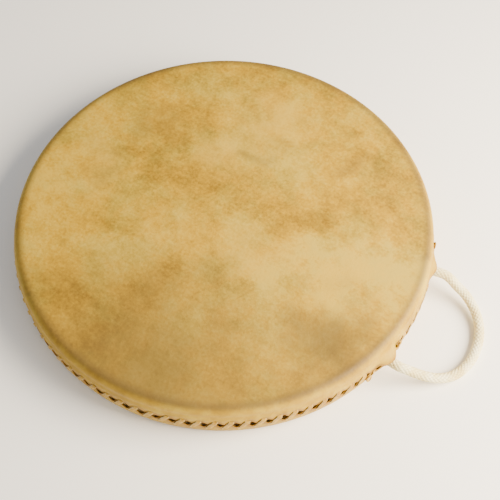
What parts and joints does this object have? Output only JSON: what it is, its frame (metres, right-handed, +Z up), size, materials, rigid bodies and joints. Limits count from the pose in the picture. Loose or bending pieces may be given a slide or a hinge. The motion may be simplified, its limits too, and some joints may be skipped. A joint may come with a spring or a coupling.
{
  "type": "hand drum",
  "caption": "Shallow round hand drum with two rawhide heads laced together round a bent-wood hoop, and a rope carrying loop.",
  "frame": {"origin": "centre of the flat face of the lower head, which the drum lies on", "axes": "+Z up through the middle of both heads, +X towards the rope carrying loop, +Y along the rim between the two rope exits"},
  "size_m": [0.4695, 0.405, 0.048],
  "materials": {
    "rawhide": "dried goat or cow rawhide, scraped, satin",
    "thong": "rawhide thong cut from the same skin",
    "hoop_wood": "steam-bent ash, sanded, unvarnished",
    "rope": "braided cotton, undyed",
    "tack": "copper tacks"
  },
  "bodies": {
    "drum": {"hoop": "hoop_wood", "scarf_tack_1": "tack", "scarf_tack_2": "tack", "scarf_tack_3": "tack", "upper_head": "rawhide", "lower_head": "rawhide", "main_lacing": "thong", "handle_lacing": "thong", "lacing_knot_1": "thong", "lacing_knot_2": "thong", "lacing_knot_3": "thong", "lacing_knot_4": "thong", "rope_tail_left": "rope", "rope_tail_right": "rope", "stopper_knot_left": "rope", "stopper_knot_right": "rope"},
    "handle": {"handle_rope": "rope"}
  },
  "joints": [
    {"name": "handle_swing", "type": "hinge", "parent": "drum", "child": "handle", "pos_m": [0.208, 0, 0.024], "axis": [0, -1, 0], "range_deg": [-40, 80]}
  ]
}
